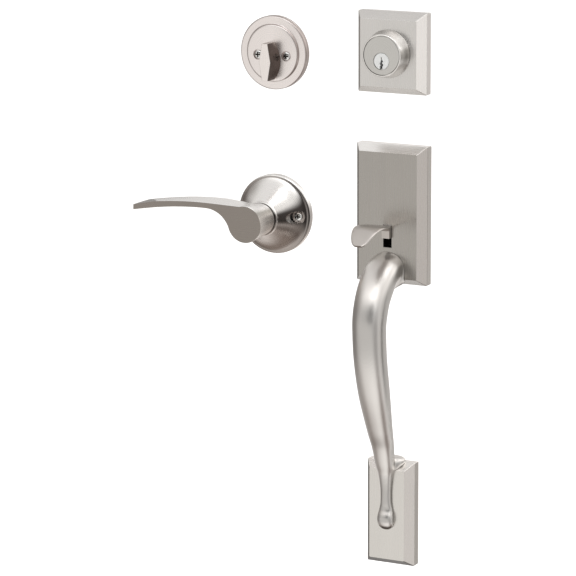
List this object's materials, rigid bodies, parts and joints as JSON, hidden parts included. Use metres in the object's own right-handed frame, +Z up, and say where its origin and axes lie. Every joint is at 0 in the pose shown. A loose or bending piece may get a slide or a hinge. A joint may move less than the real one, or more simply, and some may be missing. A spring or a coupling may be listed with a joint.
{
  "type": "entry door handleset",
  "caption": "Entry door handleset: outside deadbolt, bevelled escutcheon with thumb piece and curved grip, inside thumbturn and inside lever, all in satin nickel.",
  "frame": {"origin": "on the door face behind the centre of the upper escutcheon, at its centre pad", "axes": "+Y into the door, -Y towards the person outside, +Z up, +X to that person's right"},
  "size_m": [0.2597, 0.1151, 0.4874],
  "materials": {
    "satin_nickel": "satin nickel plate, fine vertical brushing",
    "cast_satin_nickel": "satin nickel plate on smooth castings",
    "pale_satin_nickel": "pale satin nickel plate",
    "polished_plug": "bright turned plug face",
    "bright_steel": "bare bright steel",
    "zinc_plate": "dull zinc plate",
    "brass": "turned brass",
    "black_coated_steel": "matt black coating"
  },
  "bodies": {
    "base": {"upper_escutcheon": "satin_nickel", "handle_post_left": "bright_steel", "handle_post_right": "bright_steel", "grip_screw_left": "zinc_plate", "grip_screw_right": "zinc_plate", "thumb_bracket": "black_coated_steel", "bracket_screw_left": "zinc_plate", "bracket_screw_right": "zinc_plate", "thumb_pivot_pin": "bright_steel", "thumb_spring": "bright_steel", "grip_handle": "cast_satin_nickel", "lower_escutcheon": "pale_satin_nickel", "foot_stud": "zinc_plate", "deadbolt_escutcheon": "pale_satin_nickel", "cylinder_collar": "pale_satin_nickel", "cylinder_body": "pale_satin_nickel", "chamber_cover": "brass", "cylinder_back_plate": "zinc_plate", "deadbolt_post_left": "bright_steel", "deadbolt_post_right": "bright_steel", "back_plate_screw_left": "zinc_plate", "back_plate_screw_right": "zinc_plate", "thumbturn_rose": "pale_satin_nickel", "wave_washer": "bright_steel", "thumbturn_screw_left": "zinc_plate", "thumbturn_screw_right": "zinc_plate", "lever_rose": "cast_satin_nickel", "spring_cage": "zinc_plate", "lever_return_spring": "bright_steel", "lever_mounting_plate": "zinc_plate", "lever_screw_left": "zinc_plate", "lever_screw_right": "zinc_plate", "driver_pin_1": "brass", "pin_spring_1": "bright_steel", "driver_pin_2": "brass", "pin_spring_2": "bright_steel", "driver_pin_3": "brass", "pin_spring_3": "bright_steel", "driver_pin_4": "brass", "pin_spring_4": "bright_steel", "driver_pin_5": "brass", "pin_spring_5": "bright_steel"},
    "thumb": {"thumb_piece": "cast_satin_nickel"},
    "plug": {"key_plug": "polished_plug", "plug_cap": "brass", "tailpiece": "bright_steel", "key_pin_1": "brass", "key_pin_2": "brass", "key_pin_3": "brass", "key_pin_4": "brass", "key_pin_5": "brass"},
    "turn": {"turn_knob": "pale_satin_nickel", "stem_clip": "bright_steel"},
    "lever": {"lever_handle": "cast_satin_nickel", "lever_sleeve": "bright_steel", "lever_catch": "bright_steel", "lever_spindle": "zinc_plate"}
  },
  "joints": [
    {"name": "thumb_press", "type": "hinge", "parent": "base", "child": "thumb", "pos_m": [0, -0.0085, -0.013], "axis": [1, 0, 0], "range_deg": [0, 16], "stiffness_Nm_per_rad": 0.3, "springref_deg": -5.73, "deforming": ["thumb_spring"]},
    {"name": "key_turn", "type": "hinge", "parent": "base", "child": "plug", "pos_m": [0, -0.017, 0.1349], "axis": [0, 1, 0], "range_deg": [-90, 90]},
    {"name": "knob_turn", "type": "hinge", "parent": "base", "child": "turn", "pos_m": [-0.1157, -0.009, 0.1259], "axis": [0, 1, 0], "range_deg": [-90, 90]},
    {"name": "lever_turn", "type": "hinge", "parent": "base", "child": "lever", "pos_m": [-0.1157, -0.031, -0.0101], "axis": [0, 1, 0], "range_deg": [-45, 45], "stiffness_Nm_per_rad": 2.5, "springref_deg": 1.15, "deforming": ["lever_return_spring"]}
  ]
}
